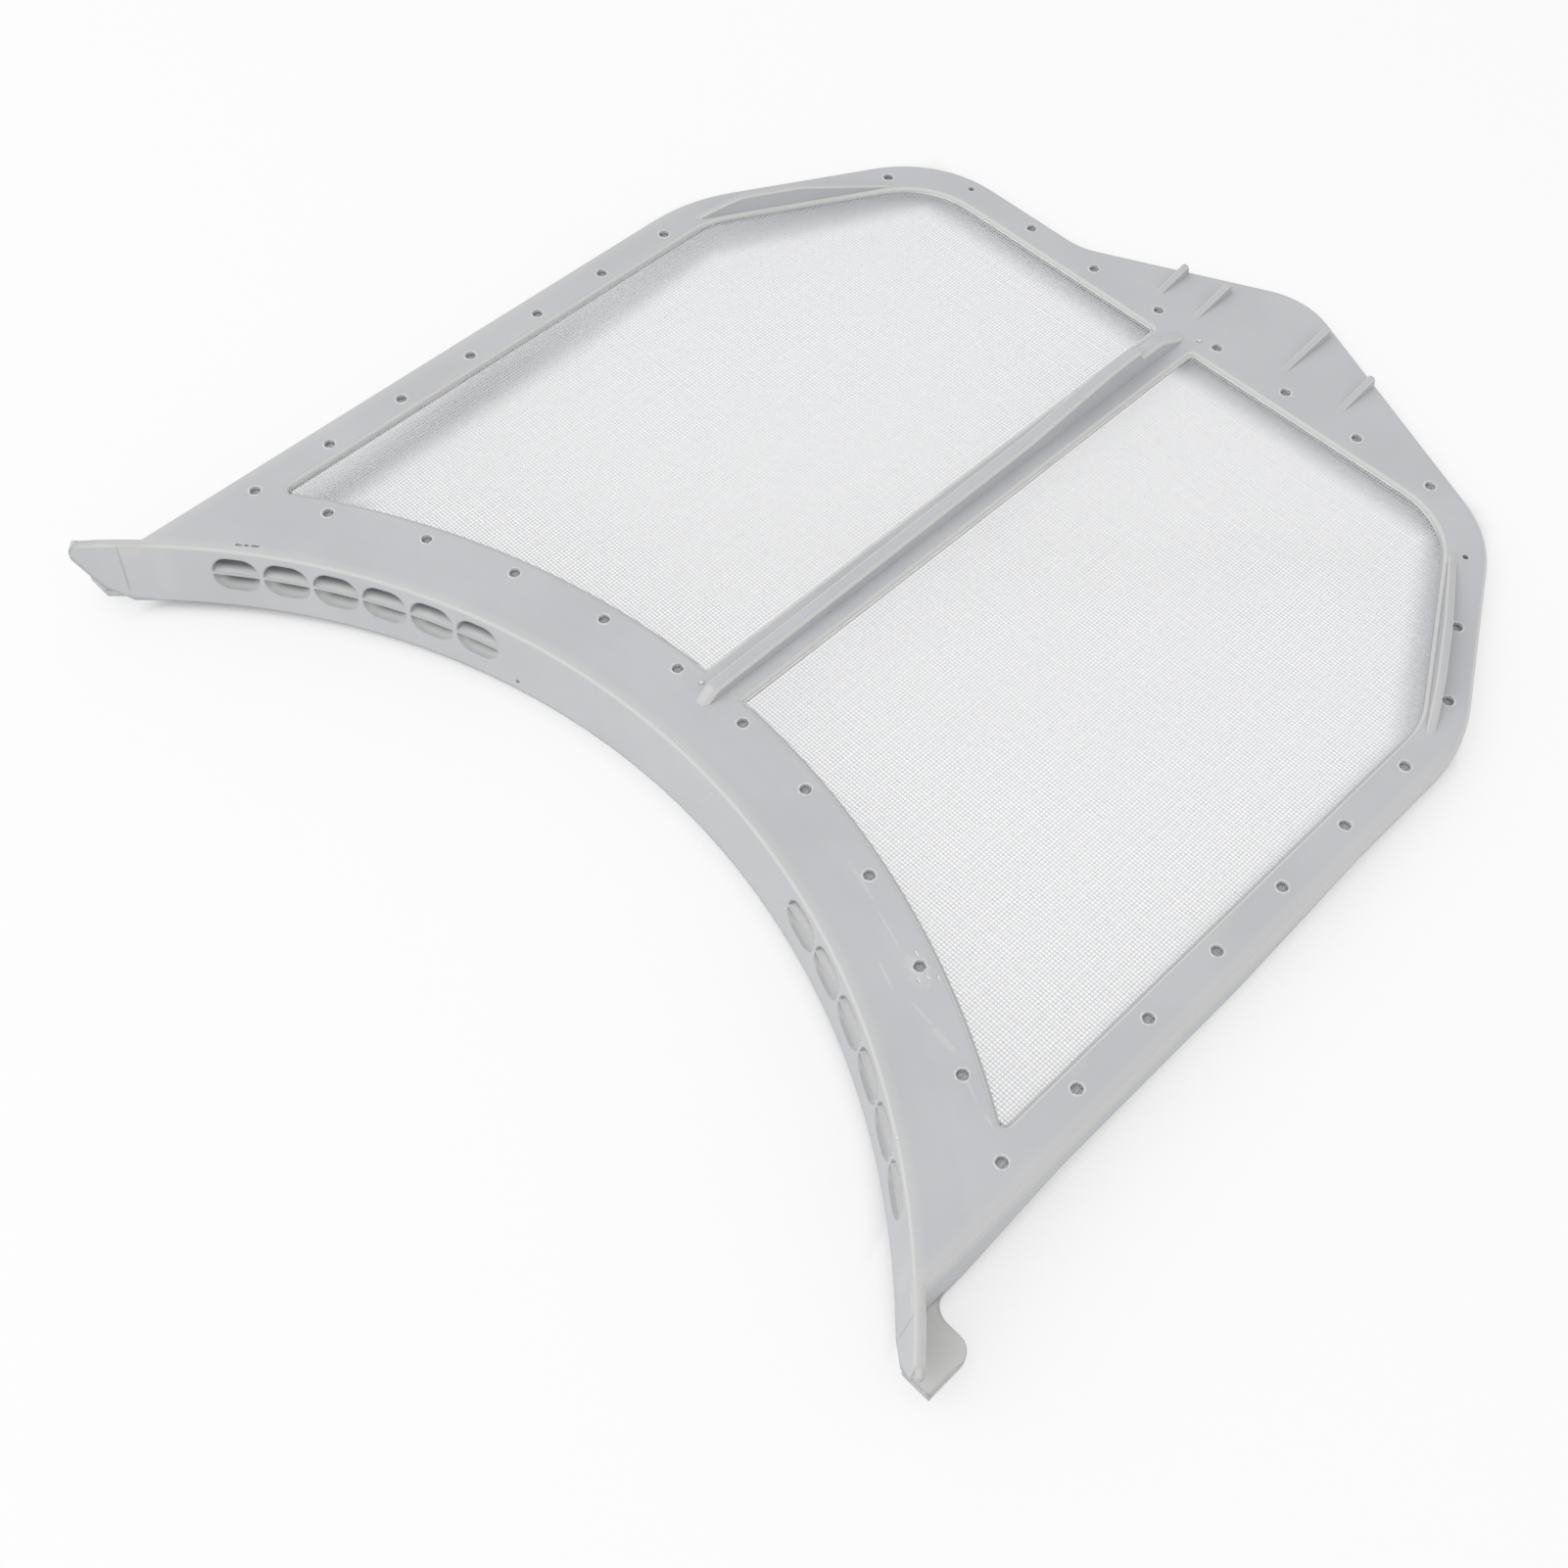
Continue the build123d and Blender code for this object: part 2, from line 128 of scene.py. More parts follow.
def fade(tree, value, start, end, low=0.0, high=1.0):
    """Smooth step from low at start to high at end."""
    span = {"Value": value, "From Min": start, "From Max": end, "To Min": low, "To Max": high}
    return node(tree, "MapRange", {"interpolation_type": "SMOOTHSTEP"}, span).outputs["Result"]


def near(tree, value, middle, reach):
    """Soft band: 1 where the value is at the middle, 0 from reach on to either side."""
    return fade(tree, calc(tree, "ABSOLUTE", calc(tree, "SUBTRACT", value, middle)), reach, 0.0)


def cloud(tree, place, scale, detail=2.0):
    """Noise from 0 to 1 with scale lumps to the millimetre."""
    return node(tree, "TexNoise", {}, {"Vector": place, "Scale": scale, "Detail": detail}).outputs["Fac"]


def blend(tree, share, under, over):
    """Colour that goes from under to over with the share."""
    mixed = node(tree, "Mix", {"data_type": "RGBA"}, {0: share, 6: under, 7: over})
    return mixed.outputs[2]


def layered(tree, colour, layers):
    """Colour with layers on it, each a share, the layer's strength and its colour."""
    for share, strength, over in layers:
        colour = blend(tree, calc(tree, "MULTIPLY", share, strength), colour, over)
    return colour


def plan_place(tree):
    """Place on the piece in plan millimetres, from its object coordinates."""
    shift = -1000 * plan_axes @ plan_origin
    turned = {"Location": shift, "Rotation": (plan_tilt, 0, 0), "Scale": (1000, 1000, 1000)}
    turned["Vector"] = node(tree, "TexCoord", {}, {}).outputs["Object"]
    return node(tree, "Mapping", {}, turned).outputs["Vector"]


def mark(tree, place, middle, turn, half_sizes, ragged):
    """Spot in an ellipsoid at middle, turned about Z: 1 up to 0.45 of its half sizes, then falling to 0
    at its border, which ragged breaks up."""
    spot = {"Vector": place, "Location": middle, "Rotation": (0, 0, radians(turn)), "Scale": half_sizes}
    inside = node(tree, "Mapping", {"vector_type": "TEXTURE"}, spot).outputs["Vector"]
    reach = node(tree, "VectorMath", {"operation": "LENGTH"}, {0: inside}).outputs["Value"]
    return fade(tree, calc(tree, "ADD", reach, ragged), 1.0, 0.45)


def marks(tree, place, spots, ragged):
    """Highest of several spots."""
    found = [mark(tree, place, spot[:3], spot[3], spot[4:], ragged) for spot in spots]
    highest = found[0]
    for share in found[1:]:
        highest = calc(tree, "MAXIMUM", highest, share)
    return highest


def inside_outline(tree, place, front_radius, half_width, rear_y, chamfer):
    """Distance inside an outline in plan: the least of those to its front arc, sides, rear and chamfers."""
    split = node(tree, "SeparateXYZ", {}, {"Vector": place}).outputs
    across = calc(tree, "ABSOLUTE", split["X"])
    flat = node(tree, "CombineXYZ", {}, {"X": split["X"], "Y": split["Y"]}).outputs["Vector"]
    from_axis = node(tree, "VectorMath", {"operation": "LENGTH"}, {0: flat}).outputs["Value"]
    cut = calc(tree, "MULTIPLY_ADD", split["Y"], -float(chamfer_normal[1]), chamfer)
    least = calc(tree, "MULTIPLY_ADD", across, -float(chamfer_normal[0]), cut)
    least = calc(tree, "MINIMUM", least, calc(tree, "SUBTRACT", from_axis, front_radius))
    least = calc(tree, "MINIMUM", least, split["Y"])
    least = calc(tree, "MINIMUM", least, calc(tree, "SUBTRACT", half_width, across))
    return calc(tree, "MINIMUM", least, calc(tree, "SUBTRACT", rear_y, split["Y"]))


def weave_height(tree, place):
    """Crossed threads: the higher of a wave across and a wave along, each one pitch long."""
    split = node(tree, "SeparateXYZ", {}, {"Vector": place}).outputs
    turn = 2 * np.pi / weave_pitch
    across = calc(tree, "SINE", calc(tree, "MULTIPLY", split["X"], turn))
    along = calc(tree, "SINE", calc(tree, "MULTIPLY", split["Y"], turn))
    return calc(tree, "MAXIMUM", across, along)


frame_grey = paint(199, 200, 203)
frame_grey_deep = paint(193, 195, 198)
frame_grey_warm = paint(210, 210, 207)
frame_grey_painted_lit = paint(217, 217, 214)
sill_white = paint(244, 244, 242)
wear_and_highlight_white = paint(228, 229, 228)
painted_shade_dark = paint(92, 92, 90)
painted_shade_grey = paint(138, 138, 137)

# Places in plan millimetres with a turn in degrees and three half sizes
rim_nicks = (
    (-125.4, 173.0, 0.0, 38.0, 1.1, 0.4, 0.8),
    (-123.8, 174.4, 0.0, 38.0, 0.8, 0.35, 0.8),
    (-121.8, 176.0, 0.0, 38.0, 1.3, 0.35, 0.8),
    (-48.7, 204.1, -16.9, 0.0, 0.7, 0.9, 0.6),
)
# White marks: the first four are painted highlights, white streaks on the right wing's rounded tip; the
# rest are white chips and spots, one a thin white line along the rim's top and the last two gate dots
rim_chips_and_highlights = (
    (156.5, 139.0, -1.0, -48.0, 3.5, 1.4, 2.6),
    (152.0, 144.5, -0.6, -46.0, 2.2, 0.9, 1.6),
    (149.2, 147.2, -0.6, -45.0, 1.6, 0.8, 1.2),
    (141.5, 154.8, -0.4, -42.0, 2.6, 0.8, 0.9),
    (118.0, 175.5, 0.0, -34.0, 0.8, 0.8, 0.9),
    (5.6, 213.5, 0.0, -4.0, 4.2, 0.4, 0.7),
    (20.2, 211.0, -4.0, 0.0, 0.7, 0.9, 0.6),
    (95.4, 210.0, 0.0, 20.0, 1.5, 0.8, 0.6),
    (97.2, 211.6, 0.0, -40.0, 1.1, 0.6, 0.6),
    (94.2, 207.8, 0.0, -10.0, 1.2, 0.6, 0.6),
    (89.2, 212.6, 0.0, -25.0, 1.6, 0.5, 0.6),
    (-4.6, 230.8, 0.2, 0.0, 1.0, 1.0, 0.8),
    (5.6, 422.9, 0.2, 0.0, 1.0, 1.0, 0.8),
)
border_scuffs = (
    (92.5, 209.5, 0.0, -25.0, 6.5, 3.4, 0.6),
    (66.0, 217.6, 0.0, -16.0, 7.0, 0.5, 0.5),
    (80.0, 212.6, 0.0, -20.0, 8.0, 0.4, 0.5),
    (88.0, 203.2, 0.0, -23.0, 5.5, 0.5, 0.5),
    (100.5, 202.0, 0.0, -4.0, 4.8, 0.5, 0.5),
    (108.8, 200.7, 0.0, -8.0, 5.0, 1.2, 0.5),
    (120.0, 196.8, 0.0, -26.0, 6.5, 0.5, 0.5),
    (129.5, 193.2, 0.0, -14.0, 3.0, 0.5, 0.5),
)
ragged_swing = 1.6
crease_setback = 10.0
crease_reach = 3.0
wing_line_angle = radians(46.1)
wing_line_reach = 0.5
wing_highlight_angle = radians(43.0)
wing_highlight_reach = 5.0
wing_tip_angles = (radians(47.0), radians(48.5))
wing_line_depth = 17.0
rim_offset = 1.1
rim_reach = 2.4
side_highlight_offset = 0.5
side_highlight_reach = 4.5
vent_top = -3.6
vent_bottom = -14.5
sill_reach = 2.2
sill_shade_depth = 2.8
sill_shade_reach = 1.9
skirt_inner_x = 134.0
tab_level = -16.5
side_edge_reach = 7.0
# Radii in metres to which edges are shaded as rounded
fine_rounding = 0.0009
wide_rounding = 0.0026

frame_plastic, tree = shader("frame_plastic_moulded")
place = plan_place(tree)
split = node(tree, "SeparateXYZ", {}, {"Vector": place}).outputs
behind = calc(tree, "SUBTRACT", split["Y"], collar_axis_y)
flat = node(tree, "CombineXYZ", {}, {"X": split["X"], "Y": behind}).outputs["Vector"]
from_collar = node(tree, "VectorMath", {"operation": "LENGTH"}, {0: flat}).outputs["Value"]
facing = node(tree, "TexCoord", {}, {}).outputs["Normal"]
upright = dot(tree, facing, plan_axes[2])
across = calc(tree, "ABSOLUTE", split["X"])
lumps = cloud(tree, place, 0.03, 3.0)
speckle = cloud(tree, place, 1.4, 3.0)
ragged = calc(tree, "MULTIPLY_ADD", cloud(tree, place, 0.9, 3.0), ragged_swing, -ragged_swing / 2)

# Imprint of the weave, in patches on top of the border that holds the screen
inside = inside_outline(tree, place, front_end_radius, side_end_x, rear_end_y, chamfer_end)
patches = fade(tree, cloud(tree, place, 0.04), 0.4, 0.65)
gripped = overlap(tree, fade(tree, inside, 2.0, 7.0), near(tree, split["Z"], 0.0, 0.3), patches)
imprint = overlap(tree, weave_height(tree, place), gripped)

# Painted light: rounded and sloping faces are painted paler, and painted highlights lie on the edges, which
# are also worn, on the rim and along the plate's side edge
turned = calc(tree, "ABSOLUTE", calc(tree, "ARCTAN2", split["X"], behind))
side_edge = near(tree, across, plate_half_width, side_edge_reach)
wide_rounded_edge = calc(tree, "MAXIMUM", side_edge, fade(tree, turned, *wing_tip_angles))
rounding = fade(tree, wide_rounded_edge, 0.0, 0.7, fine_rounding, wide_rounding)
softened = node(tree, "Bevel", {"samples": 4}, {"Radius": rounding}).outputs["Normal"]
true_normal = node(tree, "NewGeometry", {}, {}).outputs["Normal"]
# The edges are painted paler, partly as wear and partly as a painted highlight
edge = fade(tree, dot(tree, softened, true_normal), 0.985, 0.8)
# Painted light: faces that slope are painted paler
sloping = fade(tree, calc(tree, "ABSOLUTE", calc(tree, "SUBTRACT", upright, 0.55)), 0.43, 0.2)
# Painted highlight in a band along the rim's rounded top
rim = near(tree, from_collar, collar_radius + rim_offset, rim_reach)
rim = overlap(tree, rim, fade(tree, split["Z"], -2.2, -0.4))
# Painted highlight in a band along the plate's rounded side edge
side_highlight = near(tree, across, plate_half_width - side_highlight_offset, side_highlight_reach)
side_highlight = overlap(tree, side_highlight, fade(tree, split["Z"], -6.0, -3.0))

# Faint upright lines on the wings, where the skirts stand behind the collar's wall: each a shallow groove
# with painted shade in it, and a painted highlight on the wall near it
wall_face = near(tree, from_collar, collar_radius - 1.5, 3.2)
wall_level = fade(tree, split["Z"], -wing_line_depth, 1.0 - wing_line_depth)
on_wall = overlap(tree, fade(tree, upright, 0.7, 0.4), wall_face, wall_level)
# The groove is painted dark as painted shade
wing_line = overlap(tree, near(tree, turned, wing_line_angle, wing_line_reach / collar_radius), on_wall)
wing_highlight = overlap(tree, near(tree, turned, wing_highlight_angle, wing_highlight_reach / collar_radius), on_wall)

# The vents' sills and bars have a painted highlight in front, where the light comes down on them, and
# painted shade behind
above = fade(tree, split["Z"], vent_top + 1.0, vent_top)
beneath = fade(tree, split["Z"], vent_bottom - 1.0, vent_bottom)
sill = overlap(tree, above, beneath, fade(tree, upright, 0.3, 0.8))
further_in = calc(tree, "SUBTRACT", from_collar, collar_radius)
sill_front_highlight = overlap(tree, sill, near(tree, further_in, 0.0, sill_reach))
sill_back_shade = overlap(tree, sill, near(tree, further_in, sill_shade_depth, sill_shade_reach))

# Painted shade on the faces inside the skirts, and painted light on the faces that look up low down, at the
# tabs
facing_x = node(tree, "SeparateXYZ", {}, {"Vector": facing}).outputs["X"]
inward = calc(tree, "MULTIPLY", facing_x, calc(tree, "SIGN", split["X"]))
skirt_painted_shade = overlap(
    tree,
    fade(tree, inward, -0.2, -0.6),
    fade(tree, split["Z"], -2.2, -3.0),
    fade(tree, across, skirt_inner_x - 8.0, skirt_inner_x),
    fade(tree, further_in, 4.0, 8.0),
)
# Painted light: faces that look up low down, at the tabs, are painted paler
low = overlap(tree, fade(tree, upright, 0.7, 0.9), fade(tree, split["Z"], tab_level + 2.0, tab_level))

# Nicks in the rim, painted dark as the shade in them
nicks = marks(tree, place, rim_nicks, ragged)
chips_and_highlights = marks(tree, place, rim_chips_and_highlights, ragged)
scuffs = marks(tree, place, border_scuffs, ragged)
crease = near(tree, from_collar, collar_radius + collar_wall + crease_setback, crease_reach)
crease = overlap(tree, crease, fade(tree, upright, 0.9, 0.98))

colour = blend(tree, fade(tree, lumps, 0.3, 0.7), frame_grey_deep, frame_grey)
colour = layered(
    tree,
    colour,
    (
        (sloping, 0.9, frame_grey_painted_lit),
        (edge, 0.3, frame_grey_warm),
        (rim, 0.4, frame_grey_warm),
        (wing_highlight, 0.35, frame_grey_warm),
        (side_highlight, 0.6, frame_grey_warm),
        (low, 0.9, frame_grey_painted_lit),
        (skirt_painted_shade, 0.6, painted_shade_grey),
        (sill_front_highlight, 1.0, sill_white),
        (sill_back_shade, 0.75, painted_shade_grey),
        (fade(tree, speckle, 0.55, 0.8), 0.25, frame_grey_warm),
        (fade(tree, imprint, 0.3, 1.0), 0.45, frame_grey_warm),
        (scuffs, 0.24, wear_and_highlight_white),
        (chips_and_highlights, 0.7, wear_and_highlight_white),
        (wing_line, 0.25, painted_shade_dark),
        (nicks, 0.7, painted_shade_dark),
    ),
)

# Relief as shares with their depths in millimetres, the relief's unit
reliefs = (
    (cloud(tree, place, 0.12), 0.12),
    (imprint, 0.012),
    (crease, -0.08),
    (wing_line, -0.1),
    (chips_and_highlights, -0.2),
    (nicks, -0.4),
)
height = calc(tree, "MULTIPLY", speckle, 0.02)
for share, depth in reliefs:
    height = calc(tree, "MULTIPLY_ADD", share, depth, height)
relief = node(tree, "Bump", {}, {"Height": height, "Distance": relief_unit, "Normal": softened})
finish = {
    "Base Color": colour,
    "Roughness": fade(tree, calc(tree, "ADD", lumps, scuffs), 0.2, 1.0, 0.5, 0.62),
    "Specular IOR Level": 0.4,
    "Normal": relief.outputs["Normal"],
}
plastic = node(tree, "BsdfPrincipled", {}, finish).outputs["BSDF"]
node(tree, "OutputMaterial", {}, {"Surface": plastic})
moulded_frame = frame["nodes"]["moulded_frame"]
moulded_frame.data.materials.clear()
moulded_frame.data.materials.append(frame_plastic)

# Burrs round the pin marks: the lip that the mould's pins raised in the plate where they held the screen.
# They are part of the moulding, a little whiter in patches on top, and whiter down the inside of each pin
# hole.
pin_pitch = 25.4
arc_pin_radius = 229.9
arc_pin_places = np.array([12.2, 37.9, 67.2, 94.6, 123.9])
side_pin_x = 138.5
side_pin_start = 187.9
side_pin_y = side_pin_start + pin_pitch * np.arange(7)
chamfer_pin_start = 9.75
chamfer_pin_run = chamfer_pin_start + pin_pitch * np.arange(3)
chamfer_pin_inset = 6.3
rear_pin_start = 11.1
rear_pin_x = rear_pin_start + pin_pitch * np.arange(4)
rear_pin_y = 424.4
pin_radius = 1.65
fine_pin_radius = 1.0
burr_segments = 24
# Unevenness of the burrs, which are torn at the arc's fourth pin on either side
even_burr = 0.03
torn_burr = 0.1
torn_pin = 3
burr_lift = 4
# Burr's section in pin radii: out from the pin's middle and up from the plate
burr_section = np.array(
    [
        [1.32, -0.04],
        [1.22, 0.03],
        [1.08, 0.08],
        [0.96, 0.05],
        [0.92, -0.08],
        [0.9, -0.71],
        [1.1, -0.71],
        [1.22, -0.3],
    ]
)
dice = np.random.default_rng(7)

arc_turn = arc_pin_places / arc_pin_radius
chamfer_along = np.array([chamfer_run_x, chamfer_run_y]) / np.hypot(chamfer_run_x, chamfer_run_y)
chamfer_start = np.array([plate_half_width - chamfer_pin_inset / chamfer_normal[0], side_corner_y])
right_pins = np.concatenate(
    [
        arc_pin_radius * np.stack([np.sin(arc_turn), np.cos(arc_turn)], axis=1),
        np.stack([np.full_like(side_pin_y, side_pin_x), side_pin_y], axis=1),
        chamfer_start + chamfer_pin_run[:, None] * chamfer_along,
        np.stack([rear_pin_x, np.full_like(rear_pin_x, rear_pin_y)], axis=1),
    ]
)
pin_places = np.concatenate([right_pins, right_pins * (-1, 1)])
right_count = len(right_pins)
right_fine_pin = len(arc_pin_places) + len(side_pin_y) + len(chamfer_pin_run) - 1
left_fine_pin = 2 * right_count - 1
pin_radii = np.full(2 * right_count, pin_radius)
pin_radii[[right_fine_pin, left_fine_pin]] = fine_pin_radius
pin_roughness = np.full(2 * right_count, even_burr)
pin_roughness[[torn_pin, right_count + torn_pin]] = torn_burr


def surface(name, points, faces, finish):
    """Mesh piece at the origin from an array of points and one of faces, smooth, riding on the frame."""
    mesh = bpy.data.meshes.new(name)
    mesh.from_pydata(points.reshape(-1, 3), [], faces.reshape(-1, faces.shape[-1]).tolist())
    mesh.shade_smooth()
    mesh.materials.append(finish)
    piece = bpy.data.objects.new(name, mesh)
    bpy.context.scene.collection.objects.link(piece)
    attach(piece, "root")
    return piece


def ring_quads(count, around, section):
    """Quads of closed rings: each joins a point to the next one round the ring and round its section."""
    ring, turn, step = np.meshgrid(np.arange(count), np.arange(around), np.arange(section), indexing="ij")
    next_turn = (turn + 1) % around
    next_step = (step + 1) % section
    corners = [(turn, step), (turn, next_step), (next_turn, next_step), (next_turn, step)]
    return np.stack([(ring * around + a) * section + b for a, b in corners], axis=-1)


def burr_points(places, radii, roughness):
    """Section turned about each pin's axis: radius times the section, each turn moved by a random share."""
    count = len(places)
    turn = np.linspace(0, 2 * np.pi, burr_segments, endpoint=False)[None, :, None]
    uneven = 1 + roughness[:, None, None] * dice.normal(size=(count, burr_segments, 1))
    lift = 1 + burr_lift * roughness[:, None, None] * dice.normal(size=(count, burr_segments, 1))
    out = radii[:, None, None] * burr_section[:, 0] * uneven
    up = pin_radius * burr_section[:, 1]
    up = np.where(up > 0, up * lift, up)
    across = places[:, 0, None, None] + out * np.cos(turn)
    along = places[:, 1, None, None] + out * np.sin(turn)
    return laid(np.stack([across, along, up], axis=-1))


burr_plastic, tree = shader("frame_plastic_burr")
place = plan_place(tree)
split = node(tree, "SeparateXYZ", {}, {"Vector": place}).outputs
drawn = overlap(tree, fade(tree, split["Z"], -0.25, 0.05), fade(tree, cloud(tree, place, 0.8), 0.2, 0.7))
sleeve = fade(tree, split["Z"], -0.15, -0.5)
colour = layered(tree, frame_grey, ((drawn, 0.75, wear_and_highlight_white), (sleeve, 0.9, sill_white)))
height = calc(tree, "MULTIPLY", cloud(tree, place, 2.5, 3.0), 0.08)
finish = {
    "Base Color": colour,
    "Roughness": fade(tree, drawn, 0.0, 1.0, 0.55, 0.42),
    "Normal": node(tree, "Bump", {}, {"Height": height, "Distance": relief_unit}).outputs["Normal"],
}
plastic = node(tree, "BsdfPrincipled", {}, finish).outputs["BSDF"]
node(tree, "OutputMaterial", {}, {"Surface": plastic})

burrs = surface(
    "pin_burrs",
    burr_points(pin_places, pin_radii, pin_roughness),
    ring_quads(len(pin_places), burr_segments, len(burr_section)),
    burr_plastic,
)

# Flash along the windows: the thin lip of plastic that was squeezed out of the mould onto the cloth, all
# round each window's lower edge. It is part of the moulding, with a painted white highlight along the rear
# and the strap.
strap_half_width = 7.0
window_corner = 26.0
tight_corner = 1.5
flash_radius = 0.22
flash_level = -1.1
flash_inset = 0.1
flash_sides = 6
flash_step = 1.5
flash_roughness = 0.1
flash_limit = 2
corner_points = 13
arc_points = 90


def rounded_corner(before, corner, after, radius):
    """Arc that rounds a corner: tangent to both legs, drawn from one tangent point to the other."""
    leg_in = (before - corner) / np.linalg.norm(before - corner)
    leg_out = (after - corner) / np.linalg.norm(after - corner)
    half = np.arccos(leg_in @ leg_out) / 2
    middle = corner + radius / np.sin(half) * (leg_in + leg_out) / np.linalg.norm(leg_in + leg_out)
    start = corner + leg_in * radius / np.tan(half) - middle
    end = corner + leg_out * radius / np.tan(half) - middle
    share = np.linspace(0, 1, corner_points)[:, None]
    swept = (1 - share) * start + share * end
    return middle + radius * swept / np.linalg.norm(swept, axis=1, keepdims=True)


def even_path(corners, step):
    """Closed path through the corners, as points at equal steps along it."""
    closed = np.concatenate([corners, corners[:1]])
    run = np.concatenate([[0], np.cumsum(np.linalg.norm(np.diff(closed, axis=0), axis=1))])
    places = np.linspace(0, run[-1], int(run[-1] / step), endpoint=False)
    return np.stack([np.interp(places, run, closed[:, 0]), np.interp(places, run, closed[:, 1])], axis=1)


def window_path(inset):
    """Right-hand window's edge moved in by inset: strap, rear, chamfer and side lines and the front arc."""
    inner_x = strap_half_width + inset
    side_x = side_window_x - inset
    rear_y = rear_window_y - inset
    radius = window_front_radius + inset
    offset = chamfer_offset - chamfer_border - inset
    inner_front = np.array([inner_x, np.sqrt(radius**2 - inner_x**2)])
    inner_rear = np.array([inner_x, rear_y])
    rear_corner = np.array([(offset - chamfer_normal[1] * rear_y) / chamfer_normal[0], rear_y])
    side_corner = np.array([side_x, (offset - chamfer_normal[0] * side_x) / chamfer_normal[1]])
    side_front = np.array([side_x, np.sqrt(radius**2 - side_x**2)])
    turn = np.linspace(np.arctan2(*side_front), np.arctan2(*inner_front), arc_points)[1:-1]
    front = radius * np.stack([np.sin(turn), np.cos(turn)], axis=1)
    return np.concatenate(
        [
            inner_front[None],
            rounded_corner(inner_front, inner_rear, rear_corner, tight_corner),
            rounded_corner(inner_rear, rear_corner, side_corner, window_corner),
            rounded_corner(rear_corner, side_corner, side_front, window_corner),
            rounded_corner(side_corner, side_front, front[0], tight_corner),
            front,
        ]
    )


def bead_points(path, radius, level):
    """Tube along a closed path: a ring across the path at each point, its radius uneven along the way."""
    ahead = np.roll(path, -1, axis=0) - np.roll(path, 1, axis=0)
    ahead = ahead / np.linalg.norm(ahead, axis=1, keepdims=True)
    side = np.stack([ahead[:, 1], -ahead[:, 0]], axis=1)
    turn = np.linspace(0, 2 * np.pi, flash_sides, endpoint=False)
    swing = dice.normal(size=len(path)).clip(-flash_limit, flash_limit)
    uneven = radius * (1 + flash_roughness * swing)[:, None]
    flat = path[:, None, :] + side[:, None, :] * (uneven * np.cos(turn))[..., None]
    return np.concatenate([flat, (level + uneven * np.sin(turn))[..., None]], axis=-1)


flash_path = even_path(window_path(flash_inset), flash_step)
flash = np.stack(
    [
        bead_points(flash_path, flash_radius, flash_level),
        bead_points(flash_path[::-1] * (-1, 1), flash_radius, flash_level),
    ]
)

flash_highlight_white = paint(236, 237, 236)
flash_plastic, tree = shader("frame_plastic_flash")
place = plan_place(tree)
split = node(tree, "SeparateXYZ", {}, {"Vector": place}).outputs
broken = cloud(tree, place, 0.22, 3.0)
across = calc(tree, "ABSOLUTE", split["X"])
at_rear = fade(tree, split["Y"], rear_window_y - 8.0, rear_window_y - 2.0)
at_strap = fade(tree, across, strap_half_width + 4.0, strap_half_width + 1.0)
patchy = fade(tree, broken, 0.25, 0.45, 0.5, 1.0)
# Painted highlight: white along the rear and the strap, in patches
flash_highlight = overlap(tree, calc(tree, "MAXIMUM", at_rear, at_strap), patchy)
colour = blend(tree, flash_highlight, frame_grey, flash_highlight_white)
height = calc(tree, "MULTIPLY", cloud(tree, place, 2.0, 3.0), 0.06)
finish = {
    "Base Color": colour,
    "Roughness": fade(tree, broken, 0.2, 0.8, 0.35, 0.5),
    "Normal": node(tree, "Bump", {}, {"Height": height, "Distance": relief_unit}).outputs["Normal"],
}
plastic = node(tree, "BsdfPrincipled", {}, finish).outputs["BSDF"]
node(tree, "OutputMaterial", {}, {"Surface": plastic})

flash_quads = ring_quads(len(flash), len(flash_path), flash_sides)
window_flash = surface("window_flash", laid(flash), flash_quads, flash_plastic)

# Woven screen: one sheet of white polyester gauze, plain woven from fine single threads, stretched
# across both windows and held by its border in the plate.
thread_diameter = 0.22
thread_sides = 6
thread_segments = 22
thread_drift = 0.05
screen_level = -1.35
layer_offset = 0.12
screen_corner = 34.0
sag = 0.5
sag_middle_y = 325
sag_half_length = 95
drift_waves = (0.5, 3.0)
drift_shift = 0.5
thread_glow = 0.55


def sheet_offsets():
    """Lines that end the sheet at its rear corner: the chamfer's, and one across the rounded corner."""
    chamfer = np.append(chamfer_normal, chamfer_end)
    corner_x = (chamfer[2] - chamfer[1] * rear_end_y) / chamfer[0]
    normal = (chamfer_normal + (0, 1)) / np.linalg.norm(chamfer_normal + (0, 1))
    cut = screen_corner * (1 / normal[1] - 1)
    return chamfer, np.append(normal, normal @ (corner_x, rear_end_y) - cut)


